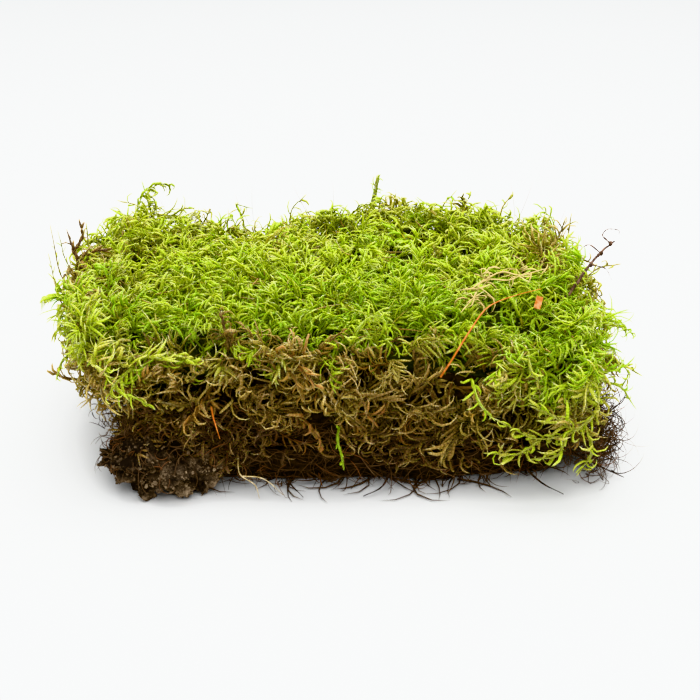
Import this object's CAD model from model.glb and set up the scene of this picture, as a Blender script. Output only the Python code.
"""A torn block of feather moss: green shoots, dead shoots, root fibres, a clod of soil and loose stems.

Places and sizes are in millimetres until a mesh is made of them. +Z is up and -Y is the front.
"""

import math
import random
from collections import namedtuple

import bpy
import numpy as np
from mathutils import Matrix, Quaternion, Vector, noise


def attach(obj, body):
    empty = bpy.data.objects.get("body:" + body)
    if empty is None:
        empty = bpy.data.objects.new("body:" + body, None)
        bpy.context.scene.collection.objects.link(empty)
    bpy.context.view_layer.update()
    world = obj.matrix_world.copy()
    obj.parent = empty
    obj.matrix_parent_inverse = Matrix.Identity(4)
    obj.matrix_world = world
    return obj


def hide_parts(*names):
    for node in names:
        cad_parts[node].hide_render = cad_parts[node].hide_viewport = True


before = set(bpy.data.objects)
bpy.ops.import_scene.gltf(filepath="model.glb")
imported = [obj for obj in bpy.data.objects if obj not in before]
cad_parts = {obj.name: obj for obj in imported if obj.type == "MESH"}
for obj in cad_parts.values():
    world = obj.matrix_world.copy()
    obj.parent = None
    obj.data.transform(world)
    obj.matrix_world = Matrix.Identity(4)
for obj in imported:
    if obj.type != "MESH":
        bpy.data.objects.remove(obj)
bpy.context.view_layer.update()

MM = 0.001
LIVING = ("fresh_moss", "living_moss")  # slot and node
DEAD = ("dead_moss", "dead_moss")
MAT = ("roots", "root_mat")
SEED = 23
UP = Vector((0, 0, 1))
GOLDEN_TURN = math.radians(137.5)  # from one branchlet to the next round a stem

# The block's form: how far each flank stands from the middle, at heights above the ground
LEFT_FLANK = ((0, 66), (12, 72), (25, 80), (35, 88), (46, 94), (58, 90))
RIGHT_FLANK = ((0, 80), (10, 88), (22, 86), (35, 89), (46, 91), (58, 86))
FRONT_FLANK = ((0, 52), (10, 57), (25, 60), (40, 62), (50, 61), (58, 57))
BACK_FLANK = ((0, 52), (12, 58), (25, 61), (42, 63), (58, 58))
PLAN_ROUNDNESS = 0.19
JUST_OUTSIDE = 1.28  # of the plan, where 1 is on its edge
CROWN = 57.0  # height of the moss surface
SHOULDER = 3.5  # how much lower it is at the rim
FRONT_SHOULDER = 8.5  # and at the front
LOW_PLACE = 6.0  # depth of the dip at the back left
LOW_PLACE_AT = (-0.48, 0.85)
LOW_PLACE_WIDTH = 0.26
MOSS_BED = 36.0  # height at which the living moss lies on the dead moss
FRONT_BED_RISE = 8.5  # how much higher that is at the front
CORNER_BED_DROP = 6.0  # and how much lower at the front corners
MAT_TOP = 13.0  # height of the root mat
LENGTH = 185.0  # the shoots are spaced along this length and depth
DEPTH = 122.0
HALF_LENGTH = 90  # by which the dim cores are shrunk
HALF_DEPTH = 60
OVER_GROUND = 0.05  # the least height of any strand's surface
LOWEST = (-103.5, -74.0, 0.45)  # no strand's middle line leaves the room between these corners
HIGHEST = (104.5, 73.5, 76.3)

# The single pieces, along the same middle lines as the solids that they replace
DARK_TWIG = ((77, -16, 52.5), (83, -8, 57), (88.5, 0, 61), (93.5, 6, 64), (98, 8, 67))
DARK_TWIG_SIDES = (
    ((84, -6, 58), (78, -5, 61), (74, -3, 58.5)),
    ((89, 1, 60.5), (94, 0, 59.5), (96, -3, 56.5)),
    ((93, 5, 63.5), (89, 7, 66), (86, 6, 65)),
    ((96.5, 7, 66.5), (93.8, 9, 68.8), (95.5, 9, 71.2), (99.3, 9, 70.8), (99.6, 9, 69.2)),
)
ORANGE_STALK = (
    (33, -60.5, 44), (36, -66, 52), (41.5, -64, 61), (48, -54, 65.5), (57, -45, 66), (67, -38, 66),
)
BARK_FLAKE = ((65.5, -40.5, 60), (66.5, -39, 63.5))
STRAW_STRANDS = (
    ((44, -33, 64), (50, -28, 65.5), (57, -27, 65), (63, -22, 65.5)),
    ((48, -26, 64), (55, -23, 66.5), (61, -25, 66), (68, -19, 65.5)),
    ((46, -34, 63.5), (44, -41, 63.5), (41, -46, 62)),
)
BROWN_SHOOTS_LEFT = (
    ((-91, 12, 50), (-94.5, 13, 57), (-96.5, 14, 62), (-98, 15, 67)),
    ((-96.5, 14, 61), (-93, 15, 66), (-93.5, 15, 71)),
    ((-95, 13, 57.5), (-89, 14, 61), (-84, 15, 61.5)),
)
BROWN_SHOOTS_RIGHT = (
    ((73, 13, 53), (74, 16, 60), (74.5, 19, 66), (74, 20, 70.5)),
    ((74, 16, 60), (79, 18, 65), (81, 19, 70)),
    ((74, 16, 60), (70, 15, 64), (68.5, 14, 66.5)),
    ((74, 14, 57), (77, 9, 60.5), (77.5, 6, 58.5)),
)
RED_NEEDLE = ((-42, -57, 31.5), (-40.8, -63, 30), (-38.7, -66.5, 24.5))
STRAY_GREEN_SHOOT = ((0, -57, 24.5), (-0.5, -63.5, 23), (0.8, -65, 18), (1.4, -65, 14))
LOW_GREEN_SHOOTS = (
    ((86, -52, 33), (83, -62.5, 31), (75, -68, 27.5), (64, -69.5, 26), (53, -69.5, 31.5)),
    ((80, -66, 29.5), (82, -70, 22), (79, -68.5, 14.5)),
    ((74, -68, 27.5), (71, -71, 21), (64, -70, 19)),
    ((66, -69, 26), (58, -70.5, 21), (50, -69, 20.5)),
    ((76, -68, 28), (70, -69.5, 33.5), (64, -68.5, 36)),
)
PALE_ROOT = ((-34, -53.5, 12), (-33, -60, 8.5), (-28, -62, 5.5), (-26.5, -63.5, 1.2))
PALE_ROOT_SIDE = ((-32, -60.5, 8), (-25, -62.5, 8), (-18.5, -63.5, 2.5))
DARK_ROOTS = (
    ((-20, -50, 7), (-17, -57.5, 4.5), (-12, -62, 0.9)),
    ((18, -50, 7), (14.5, -58, 3), (8, -61.5, 1)),
    ((62, -48, 6), (68, -55.5, 3), (75, -60, 1)),
    ((82, -30, 9), (93, -35, 8.5), (98.5, -36, 5)),
    ((84, -20, 12), (95, -24, 15.5), (100, -24, 21)),
    ((80, -38, 6), (90, -44, 3), (97, -48, 1.2)),
)
CLOD_MIDDLE = Vector((-57.5, -48.0, 10.5))
CLOD_REACH = Vector((20.0, 18.5, 13.0))
CLOD_LUMP = 4.6  # how far the clod's lumps stand out
CLOD_LOBES = (  # middle and size
    ((-77, -47, 8.5), 4.5), ((-73, -50, 7), 4.0), ((-45, -57, 5), 5.0),
    ((-64, -61, 4), 4.5), ((-50, -50, 19), 6.0),
)
ROOT_TANGLES = (  # middle, spread, number and greatest length of the wiry roots
    ((88.5, -34, 11), (3, 10, 7), 560, 19),
    ((-69, -51, 22), (5, 5, 5), 260, 9),
    ((84, 10, 12), (3, 22, 6), 140, 16),
)

# Fine hairs at the back edge of the crown: foot and tip
HAIRS = (
    ((-64, 54, 56), (-70, 58, 69.5)), ((-35, 54, 58), (-42, 58, 69.5)), ((-33.5, 54, 60), (-35, 58, 73)),
    ((-12, 54, 61), (-19, 58, 73.5)), ((-3, 54, 61), (-2, 58, 74)), ((21, 54, 61), (22, 58, 73.5)),
    ((67, 54, 60), (66, 58, 74)), ((68, 54, 60), (75, 58, 74)), ((-89, 8, 54), (-93, 10, 68)),
    ((88, -44, 38), (99, -46, 37.5)), ((80, 40, 58), (86, 44, 68)),
)

# Shoots that stand well out of the crown and the flanks, along their middle lines
TALL_SHOOTS = (
    ((-70, 57, 50), (-73, 59, 60), (-75.5, 60.5, 69.5)),
    ((-73, 58.5, 58), (-78, 60, 63.5), (-84, 61, 65)),
    ((-72.5, 59, 60), (-71.5, 60, 65), (-73.5, 60, 68)),
    ((-72, 57, 55), (-80, 58, 59), (-86, 59, 61.5)),
    ((-66, 57, 51), (-62, 61, 61), (-58, 62, 62)),
    ((-37, 57, 51), (-38, 60, 59), (-40.5, 60, 64), (-36, 60.5, 63)),
    ((-20, 57, 54), (-19, 60, 62), (-15, 62, 66)),
    ((12, 56, 54), (12.5, 58, 65), (14, 59.5, 74)),
    ((12.6, 56, 56), (13.2, 58.2, 66), (14.8, 59.6, 75.8)),
    ((11.5, 56.5, 55), (11.9, 58.5, 65), (13.4, 59.8, 73)),
    ((17, 56, 54), (20, 60, 63), (21, 61, 67)),
    ((38, 56, 54), (39, 59, 63), (43, 60, 68)),
    ((37, 55, 54), (35, 58, 63), (31, 60, 66)),
    ((62, 56, 54), (62, 59, 62), (65, 61, 66.5)),
    ((80, 36, 50), (85, 38, 58), (86, 38, 65)),
    ((86, 10, 50), (93, 10, 56), (98.5, 8, 58)),
    ((-94, 4, 44), (-99.5, 3, 56), (-101, 1, 70)),
    ((-92, 13, 48), (-98.5, 12, 57), (-100.5, 12, 66)),
    ((-92, -10, 48), (-98.5, -11, 57), (-100, -12, 66)),
    ((-89, -22, 48), (-95, -23, 55), (-97, -22, 61)),
    ((-86, 16, 52), (-91, 18, 60), (-92, 20, 67)),
    ((-88, 30, 50), (-94, 32, 57), (-96, 34, 62)),
)
EDGE_SHOOTS = (
    ((86, -36, 42), (94, -42, 41), (99.5, -43, 38)),
    ((85, -46, 37), (93, -50, 36), (97, -52, 31)),
    ((-91, -18, 47), (-96, -20, 49), (-98, -22, 43)),
    ((-88, -38, 44), (-92, -44, 43), (-94, -45, 38)),
    ((-92, 20, 44), (-97, 22, 42), (-98, 24, 36)),
    ((43, -60, 43), (45, -67, 38), (49, -67, 33)),
    ((-76, -56, 45), (-73.5, -63, 42.5), (-70, -65, 40), (-65, -65.5, 38.5), (-61, -65, 35.5)),
    ((-68, -42, 52), (-66, -43, 59), (-60.5, -43, 62.5), (-54.5, -42, 60.5), (-50, -42, 55)),
    ((-92, -30, 43), (-91, -34, 50), (-85, -36, 53), (-79, -40, 51)),
    ((4, -54, 52), (6, -60, 60), (10, -60, 64.5), (14.5, -60, 63.5), (15.5, -61, 60)),
    ((61, -58, 52), (61.5, -65, 48.5), (64, -67, 45), (63, -66.5, 41)),
    ((88, -27, 33), (92, -30, 32.5), (95.5, -32, 36), (98.5, -34, 34), (97, -34, 29.5)),
    ((40, 60, 44), (43, 67, 46), (45, 68, 41)),
    ((-30, 60, 44), (-33, 67, 44), (-31, 68, 38)),
)

# How the kinds of shoot grow: the stem's width, then its branchlets' length, width, spread and hook in
# degrees, and lift. Shoots without a line of their own also have the stem's reach and number of scales,
# the number of branchlets, the share of the stem below them, and the share of shoots that have them all
# round the stem and not on two sides.
Habit = namedtuple(
    "Habit", "stem length width spread hook lift reach scales branchlets bare whorled", defaults=(None,) * 5
)
CROWN_HABIT = Habit(1.0, (7.0, 12.5), 1.08, 54, (80, 210), 0.25, (13, 19), 1, 12, 0.3, 0.5)
ARCH_HABIT = Habit(1.3, (5.0, 9.0), 0.95, 50, (90, 220), 0.15, (20, 30), 6, 18, 0.1, 0.0)
FLANK_HABIT = Habit(1.1, (7.0, 13.5), 1.08, 50, (80, 220), 0.2, (14, 23), 1, 14, 0.2, 0.2)
DEAD_HABIT = Habit(1.4, (6.0, 14.0), 1.28, 46, (80, 280), 0.25, (13, 24), 3, 13, 0.12, 0.1)
TALL_HABIT = Habit(1.2, (5.0, 9.0), 1.0, 48, (80, 230), 0.2)
BLADE_HABIT = Habit(0.9, (3.0, 5.0), 0.8, 20, (10, 50), 0.1)
EDGE_HABIT = Habit(1.3, (5.0, 9.0), 1.05, 48, (80, 230), 0.25)
SPRAY_HABIT = Habit(1.3, (6.0, 12.0), 1.2, 45, (70, 230), 0.3)
HANGING_HABIT = Habit(1.2, (2.0, 3.5), 1.2, 45, (20, 60), 0.3)
UPRIGHT_HABIT = Habit(1.3, (6.0, 11.0), 1.25, 32, (40, 150), 0.3)
FORKED_HABIT = Habit(1.9, (3.5, 7.0), 1.3, 22, (30, 120), 0.3)
STRAW_HABIT = Habit(0.7, (6.0, 12.0), 1.2, 45, (70, 230), 0.3)
CROWN_SPACING = 4.7  # between neighbouring shoots
FLANK_SPACING = 4.9
DEAD_SPACING = 4.6
FIBRE_SPACING = 2.45
ARCH_SHARE = 0.10  # of the crown's shoots are long arching ones
CROWN_DEPTH = 5.5  # how deep in the block the shoots start
FLANK_DEPTH = 8.5
DEAD_DEPTH = 10.0
CROWN_RELIEF = 3.5  # how far the ends of the shoots wander in and out of the block's form
FLANK_RELIEF = 4.0
DEAD_RELIEF = 6.0
MAT_RELIEF = 5.5
HOLLOWS_EMPTY = 0.9  # of the dead shoots are missing where the layer lies in a hollow
LEFT_REACH = 1.5  # the shoots stand further out at the left end
LEFT_RISE = 4.0  # and higher
WIRY_SHARE = 0.10  # of the crown's shoots have a thin brown stem lying beside them
LYING_DROP = 9.0  # shoots are pressed down this far under a stem that lies on them
LYING_WIDTH = 7.5
HOLLOWS = (  # x, y and size, on the crown
    (-71, -12, 8), (-58, -42, 7), (-90, -5, 6), (4, -46, 6), (30, -52, 6), (80, -13, 9),
    (87, -3, 8),
)
HOLLOW_DEPTH = 6.0
HOOK_POWER = 1.05  # above 1, a strand bends more towards its tip
CURL_SHARE = 0.5  # of the crown's shoots have a fine curled tip beside them
CLUMP = 10.5  # the size of the tufts that neighbouring shoots form together
CLUMP_RISE = 2.6  # how much higher a tuft's middle stands than its edge

# Along the front, as shares of the half length: where green turns to tan, and tan to dark brown
GREEN_ENDS = (
    (-1, 46), (-0.85, 45), (-0.7, 47), (-0.6, 51), (-0.49, 55), (-0.28, 58.5), (-0.14, 56), (0.04, 54.5),
    (0.22, 52.5), (0.39, 52), (0.5, 53), (0.57, 53), (0.71, 44), (0.9, 32), (1, 30),
)
TAN_ENDS = (
    (-1, 27), (-0.66, 28), (-0.49, 27), (-0.3, 24), (-0.1, 21), (0.1, 20), (0.3, 18), (0.6, 16), (1, 13),
)
TAN_SHARES = ((-1, 0.3), (0, 0.28), (0.4, 0.28), (0.6, 0.2), (1, 0.1))  # how much the tan darkens
# Along the back edge: how much higher than the rest of the crown the shoots stand
BACK_RISES = (
    (-1, 6), (-0.75, 5), (-0.5, 4), (-0.3, 5.5), (0, 8), (0.3, 10.5), (0.5, 10.5), (0.65, 9),
    (0.8, 7), (1, 3),
)
# Brown places among the green: x, y, z and size
BROWN_PATCHES = ((74, 15, 55, 8), (-93, -1, 51, 8), (-32, -58, 52, 6.5), (81, -9, 57, 5.5))
# The same away from the front
SIDE_GREEN_END = 40.0
LEFT_GREEN_END = 46.0
SIDE_TAN_END = 18.0
SIDE_TAN_SHARE = 0.28
# A shoot's age, from 0 for fresh green to 1 for dark brown
FRESH_AGE = 0.10
FADING = 0.27  # added to it where the green ends
LAST_GREEN_AGE = 0.3
TAN_AGE = 0.35
DARK_AGE = 0.97

# Colours by a shoot's age, from fresh green through olive and straw to dark brown
ROOT_COLOURS = (
    (0.0, (0.110, 0.205, 0.005)), (0.14, (0.165, 0.240, 0.008)), (0.35, (0.080, 0.070, 0.012)),
    (0.6, (0.042, 0.026, 0.011)), (1.0, (0.020, 0.012, 0.007)),
)
BODY_COLOURS = (
    (0.0, (0.175, 0.335, 0.009)), (0.14, (0.375, 0.500, 0.030)), (0.35, (0.275, 0.207, 0.050)),
    (0.6, (0.275, 0.172, 0.054)), (0.8, (0.155, 0.088, 0.035)), (1.0, (0.090, 0.050, 0.026)),
)
TIP_COLOURS = (
    (0.0, (0.490, 0.650, 0.120)), (0.14, (0.745, 0.815, 0.240)), (0.35, (0.630, 0.535, 0.210)),
    (0.6, (0.665, 0.495, 0.205)), (0.8, (0.440, 0.285, 0.130)), (1.0, (0.290, 0.180, 0.105)),
)
WARM_COLOURS = (
    (0.0, (0.430, 0.360, 0.040)), (0.35, (0.400, 0.240, 0.050)), (0.6, (0.290, 0.110, 0.032)),
    (1.0, (0.130, 0.042, 0.018)),
)
# Of strands of one kind: at the foot, along the body, at the tip, and of a few that are warmer
FIBRE_COLOURS = ((0.018, 0.011, 0.007), (0.090, 0.055, 0.032), (0.300, 0.200, 0.120), (0.180, 0.078, 0.036))
STRAW_COLOURS = ((0.260, 0.180, 0.060), (0.660, 0.520, 0.205), (0.860, 0.775, 0.420), (0.660, 0.520, 0.205))
SOIL_COLOURS = (
    (0.0, (0.012, 0.009, 0.007)), (0.3, (0.060, 0.044, 0.031)), (0.6, (0.215, 0.156, 0.100)),
    (1.0, (0.420, 0.322, 0.205)),
)
PALE_GRIT = (0.44, 0.35, 0.23)
BLACK = (0.0, 0.0, 0.0)
# The strands' kinds, as rings of height and radius, for a strand 1 high and wide
BRANCHLET_RINGS = ((0, 0.34), (0.24, 0.54), (0.52, 0.5), (0.8, 0.34), (1, 0.03))
WISP_RINGS = ((0, 0.3), (0.2, 0.5), (0.42, 0.46), (0.64, 0.36), (0.84, 0.2), (1, 0.03))
FIBRE_RINGS = ((0, 0.5), (0.25, 0.5), (0.5, 0.42), (0.75, 0.3), (1, 0.05))
ROOTLET_RINGS = [(step / 8, 0.5 - 0.45 * (step / 8) ** 2) for step in range(9)]
FLATNESS = 0.5  # how thick a branchlet is, as a share of its width
ROLL = 0.4  # how far a branchlet's flat side strays from the way that it bends
GLOW = 0.5  # how much of a leafy strand's light passes through it
STRAW_LOOPS = 1  # at each point of a straw-coloured strand
LONGER_THAN_ALL = 99  # a step between branchlets that leaves a strand without any
BLADES_BEYOND = -94  # the tall shoots that end further left are narrow blades
LEAF_WAVES = 62.0  # radians, from a branchlet's foot to its tip: ten pairs of small leaves
LEAF_CONTRAST = 0.13
CRUMBS = 3600
CLOD_FIBRES = 300
EDGE_ROOTS = 170
MAT_UNDERSIDE = 0.9  # height of the root mat's inside over the ground, with fibres below it
UNDER_FIBRES = 700

# The camera, as far from the block as a table-top photographer stands
CAMERA_TARGET = Vector((3.6, 0, 28.3))
CAMERA_DISTANCE = 600
CAMERA_ELEVATION = 22.5
CAMERA_LENS = 85.4
SENSOR_WIDTH = 36
# The table and the soft lights over it, in metres
FLOOR_SIZE = 14
FLOOR_COLOUR = (0.735, 0.745, 0.745)
LIGHTS = (((0.0, 0.15, 0.9), 14.3), ((0.1, -0.65, 0.9), 7.4))  # place and power
LIGHT_SIZE = (0.9, 0.7)
LIGHT_TARGET = Vector((0, 0, 0.03))


def added(operator, **settings):
    """The object that an operator adds, alone selected."""
    bpy.ops.object.select_all(action="DESELECT")
    operator(**settings)
    return bpy.context.object


def clamped(share):
    """A share kept between 0 and 1."""
    return min(1.0, max(0.0, share))


def flank_reach(flank, height):
    """How far a flank stands from the middle at a height, smooth between its stations."""
    for (low, near), (high, far) in zip(flank, flank[1:]):
        if height <= high:
            share = max(0.0, (height - low) / (high - low))
            return near + (far - near) * share * share * (3 - 2 * share)
    return flank[-1][1]


def place(u, v, height):
    """The point of the block at u and v of its plan, each from -1 to 1, and a height."""
    across = flank_reach(LEFT_FLANK if u < 0 else RIGHT_FLANK, height)
    deep = flank_reach(FRONT_FLANK if v < 0 else BACK_FLANK, height)
    x = across * u * math.sqrt(1 - PLAN_ROUNDNESS * v * v)
    y = deep * v * math.sqrt(1 - PLAN_ROUNDNESS * u * u)
    swell = 1 + 0.035 * noise.noise(Vector((x, y, height)) / 34)
    return Vector((x * swell, y * swell, height))


def in_block(point):
    """Whether a point lies inside the block's flanks, or just outside them."""
    u = point.x / flank_reach(LEFT_FLANK if point.x < 0 else RIGHT_FLANK, point.z)
    v = point.y / flank_reach(FRONT_FLANK if point.y < 0 else BACK_FLANK, point.z)
    return max(u * u + PLAN_ROUNDNESS * v * v, v * v + PLAN_ROUNDNESS * u * u) < JUST_OUTSIDE


def rim_of(u, v):
    """0 in the middle of the plan and 1 on its rim."""
    return max(abs(u), abs(v))


def crown_height(u, v):
    """The moss surface: gently lumpy, with rounded shoulders and a dip at the back left."""
    lumps = 2.4 * noise.noise(Vector((u * 2.6, v * 1.9, 3.1)))
    away = math.hypot(u - LOW_PLACE_AT[0], v - LOW_PLACE_AT[1]) / LOW_PLACE_WIDTH
    dip = LOW_PLACE * math.exp(-away * away)
    roll = (FRONT_SHOULDER - SHOULDER) * max(0.0, -v) ** 6
    return CROWN + lumps - dip - roll - SHOULDER * rim_of(u, v) ** 6


def crown_point(u, v):
    return place(u, v, crown_height(u, v))


def nudged(u):
    """A place close by, on the plan as well."""
    return u * 0.98 + 0.01


def bed_height(u, v):
    """Where the living moss lies on the dead moss."""
    front = max(0.0, -v) ** 2
    rise = FRONT_BED_RISE * front * (1 - u * u) - CORNER_BED_DROP * front * u * u
    return MOSS_BED + rim_of(u, v) ** 4 * rise + 1.0 * math.sin(5 * u + 2 * v)


def mat_height(u, v):
    """Where the dead moss lies on the root mat."""
    return MAT_TOP + 1.2 * math.sin(4 * u - 3 * v)


class Value:
    """What a socket gives. The signs +, - and * on it add Math nodes."""

    def __init__(self, finish, socket):
        self.finish = finish
        self.socket = socket

    def math(self, operation, first, second):
        return self.finish.node("ShaderNodeMath", {"operation": operation}, first, second)

    def __add__(self, other):
        return self.math("ADD", self, other)

    def __sub__(self, other):
        return self.math("SUBTRACT", self, other)

    def __rsub__(self, other):
        return self.math("SUBTRACT", other, self)

    def __mul__(self, other):
        return self.math("MULTIPLY", self, other)

    __radd__ = __add__
    __rmul__ = __mul__


class Finish:
    """A material that is being mixed, round its Principled shader."""

    def __init__(self, name, roughness=0.6, gloss=0.2):
        self.material = bpy.data.materials.new(name)
        self.material.use_nodes = True
        self.tree = self.material.node_tree
        self.shader = self.tree.nodes["Principled BSDF"]
        self.feed(self.shader.inputs["Roughness"], roughness)
        self.feed(self.shader.inputs["Specular IOR Level"], gloss)

    def feed(self, socket, value):
        if isinstance(value, Value):
            self.tree.links.new(value.socket, socket)
        elif isinstance(value, tuple) and len(value) == 3 and socket.type == "RGBA":
            socket.default_value = (*value, 1)
        else:
            socket.default_value = value

    def node(self, kind, settings, *inputs, output=0, **named):
        """Adds a node: its settings first, then its sockets by order or by name."""
        made = self.tree.nodes.new(kind)
        for key, value in settings.items():
            if key == "stops":
                self.set_stops(made.color_ramp, value)
            else:
                setattr(made, key, value)
        for index, value in enumerate(inputs):
            self.feed(made.inputs[index], value)
        for key, value in named.items():
            self.feed(made.inputs[key], value)
        return Value(self, made.outputs[output])

    def set_stops(self, ramp, stops):
        """Gives a ramp its colours, the first and the last at its two ends."""
        (_, first), *between, (_, last) = stops
        ramp.elements[0].color = (*first, 1)
        ramp.elements[1].color = (*last, 1)
        for spot, colour in between:
            ramp.elements.new(spot).color = (*colour, 1)

    def attribute(self, name):
        return self.node("ShaderNodeAttribute", {"attribute_name": name}, output="Fac")

    def ramp(self, value, stops):
        return self.node("ShaderNodeValToRGB", {"stops": stops}, value)

    def mix(self, share, first, second):
        """A colour between two, by a share from 0 to 1."""
        made = self.node("ShaderNodeMix", {"data_type": "RGBA"}, share, output=2)
        inputs = made.socket.node.inputs
        self.feed(inputs[6], first)
        self.feed(inputs[7], second)
        return made

    def speckle(self, scale, detail=2.0):
        """Noise in the piece's own coordinates, with this many grains to the metre."""
        place_on = self.node("ShaderNodeTexCoord", {}, output="Object")
        return self.node("ShaderNodeTexNoise", {}, Vector=place_on, Scale=scale, Detail=detail)

    def between(self, value, low, high):
        """0 up to low, 1 from high, and smooth in between."""
        settings = {"interpolation_type": "SMOOTHSTEP"}
        return self.node("ShaderNodeMapRange", settings, value, low, high, 0.0, 1.0)

    def colour(self, value):
        self.feed(self.shader.inputs["Base Color"], value)

    def bump(self, height, strength, distance):
        made = self.node(
            "ShaderNodeBump", {}, Strength=strength, Distance=distance, Height=height, output="Normal"
        )
        self.feed(self.shader.inputs["Normal"], made)


def leafy_finish():
    """Leafy strands of any age: dark at the foot, light at the leaf points, and no two quite alike."""
    finish = Finish("leafy shoots", roughness=0.6, gloss=0.15)
    finish.feed(finish.shader.inputs["Subsurface Weight"], GLOW)
    finish.feed(finish.shader.inputs["Subsurface Radius"], (1.0, 1.0, 0.35))
    finish.feed(finish.shader.inputs["Subsurface Scale"], 0.002)
    age = finish.attribute("age")
    tint = finish.attribute("tint")
    along, edge = finish.attribute("along"), finish.attribute("edge")
    leaves = finish.node("ShaderNodeMath", {"operation": "SINE"}, along * LEAF_WAVES - edge * 1.6)
    light = along * 0.75 + edge * 0.2 + tint * 0.2 - 0.05 + leaves * LEAF_CONTRAST
    body = finish.mix(
        finish.between(light, 0.0, 0.48), finish.ramp(age, ROOT_COLOURS), finish.ramp(age, BODY_COLOURS)
    )
    body = finish.mix(finish.between(light, 0.5, 1.0), body, finish.ramp(age, TIP_COLOURS))
    body = finish.mix(finish.between(tint, 0.8, 1.0) * 0.7, body, finish.ramp(age, WARM_COLOURS))
    finish.colour(finish.mix(finish.attribute("shade"), BLACK, body))
    return finish.material


def fibre_finish(name, root, body, tip, warm):
    """Strands of one kind, darker at the foot and lighter at the tip."""
    finish = Finish(name, roughness=0.75, gloss=0.15)
    light = finish.attribute("along") * 0.6 + finish.attribute("tint") * 0.5
    colour = finish.mix(finish.between(light, 0.1, 0.5), root, body)
    colour = finish.mix(finish.between(light, 0.6, 1.05), colour, tip)
    colour = finish.mix(finish.between(finish.attribute("tint"), 0.8, 1.0), colour, warm)
    finish.colour(finish.mix(finish.attribute("shade"), BLACK, colour))
    return finish.material


def grained_finish(
    name, colour, lighter, roughness, grains, gloss=0.25, shares=(0.42, 0.68), bump=(0.5, 0.0002)
):
    """Dry stems, bark and the dim inside of the block: one colour broken by a lighter grain."""
    finish = Finish(name, roughness, gloss)
    grain = finish.speckle(grains, detail=4.0)
    finish.colour(finish.mix(finish.between(grain, *shares), colour, lighter))
    finish.bump(grain, *bump)
    return finish.material


def soil_finish():
    """Crumbs of soil: near black in the pits, brown and dusty on the crumbs, with a little pale grit."""
    finish = Finish("crumbly soil", roughness=0.95, gloss=0.1)
    relief = finish.attribute("relief")
    fine = finish.speckle(1100.0, detail=3.0)
    finest = finish.speckle(3600.0, detail=1.0)
    body = finish.ramp(relief + fine * 0.8 + finest * 0.6 - 0.7, SOIL_COLOURS)
    finish.colour(finish.mix(finish.between(finish.attribute("tint"), 0.97, 1.0) * 0.7, body, PALE_GRIT))
    finish.bump(fine, strength=0.7, distance=0.0004)
    return finish.material


# A curved way: it sets out along first and bends towards another way by an angle, with some twist
Arc = namedtuple("Arc", "first toward bend twist")


def arc(first, toward, degrees, twist=0.0):
    """An arc with its second way squared to its first."""
    first = first.normalized()
    toward = toward - first * toward.dot(first)
    return Arc(first, toward.normalized(), math.radians(degrees), twist)


def bent(rng, first, toward, least, most, twist):
    """An arc with a random bend between two angles, and a random twist."""
    return arc(first, toward, rng.uniform(least, most), rng.gauss(0, twist))


def way_at(curve, share):
    """Where an arc points at a share of its length."""
    turned = curve.bend * share ** HOOK_POWER
    aside = curve.first.cross(curve.toward) * curve.twist * share
    return (curve.first * math.cos(turned) + curve.toward * math.sin(turned) + aside).normalized()


class Strands(list):
    """Rows of strands to be planted: where each starts, how it bends, its sizes and its colour."""

    def add(self, foot, curve, length, width, tint, age, shade=1.0):
        first, toward, bend, twist = curve
        self.append((*foot, *first, *toward, bend, twist, length, width, tint, age, shade))

    def half(self, back):
        """The strands that start in the block's back half, or those in its front half."""
        return Strands(row for row in self if (row[1] > 0) == back)


# A shape that is copied: its points, the corners of its triangles, and how thick it is for its width
Shape = namedtuple("Shape", "verts corners flat")


def shape_of(thing, flat=1.0):
    """Takes the shape off an object, and removes the object."""
    mesh = thing.data
    verts = np.empty(len(mesh.vertices) * 3)
    mesh.vertices.foreach_get("co", verts)
    corners = np.empty(len(mesh.loops), int)
    mesh.loops.foreach_get("vertex_index", corners)
    bpy.data.objects.remove(thing, do_unlink=True)
    return Shape(verts.reshape(-1, 3), corners, flat)


def strand_shape(rings, turn=0.0, flat=1.0):
    """A three-sided strand, drawn up ring by ring with a turn at each, and closed in a point."""
    (_, radius), *others = rings
    strand = added(bpy.ops.mesh.primitive_circle_add, vertices=3, radius=radius, fill_type="NGON")
    bpy.ops.object.mode_set(mode="EDIT")
    bpy.ops.mesh.select_all(action="SELECT")
    height = 0.0
    for level, wide in others:
        bpy.ops.mesh.extrude_region_move(TRANSFORM_OT_translate={"value": (0, 0, level - height)})
        bpy.ops.transform.resize(value=(wide / radius, wide / radius, 1), center_override=(0, 0, level))
        bpy.ops.transform.rotate(value=turn, orient_axis="Z", center_override=(0, 0, level))
        height, radius = level, wide
    bpy.ops.mesh.merge(type="CENTER")
    bpy.ops.mesh.select_all(action="SELECT")
    bpy.ops.mesh.quads_convert_to_tris()
    bpy.ops.mesh.normals_make_consistent(inside=False)
    bpy.ops.object.mode_set(mode="OBJECT")
    return shape_of(strand, flat)


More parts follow.
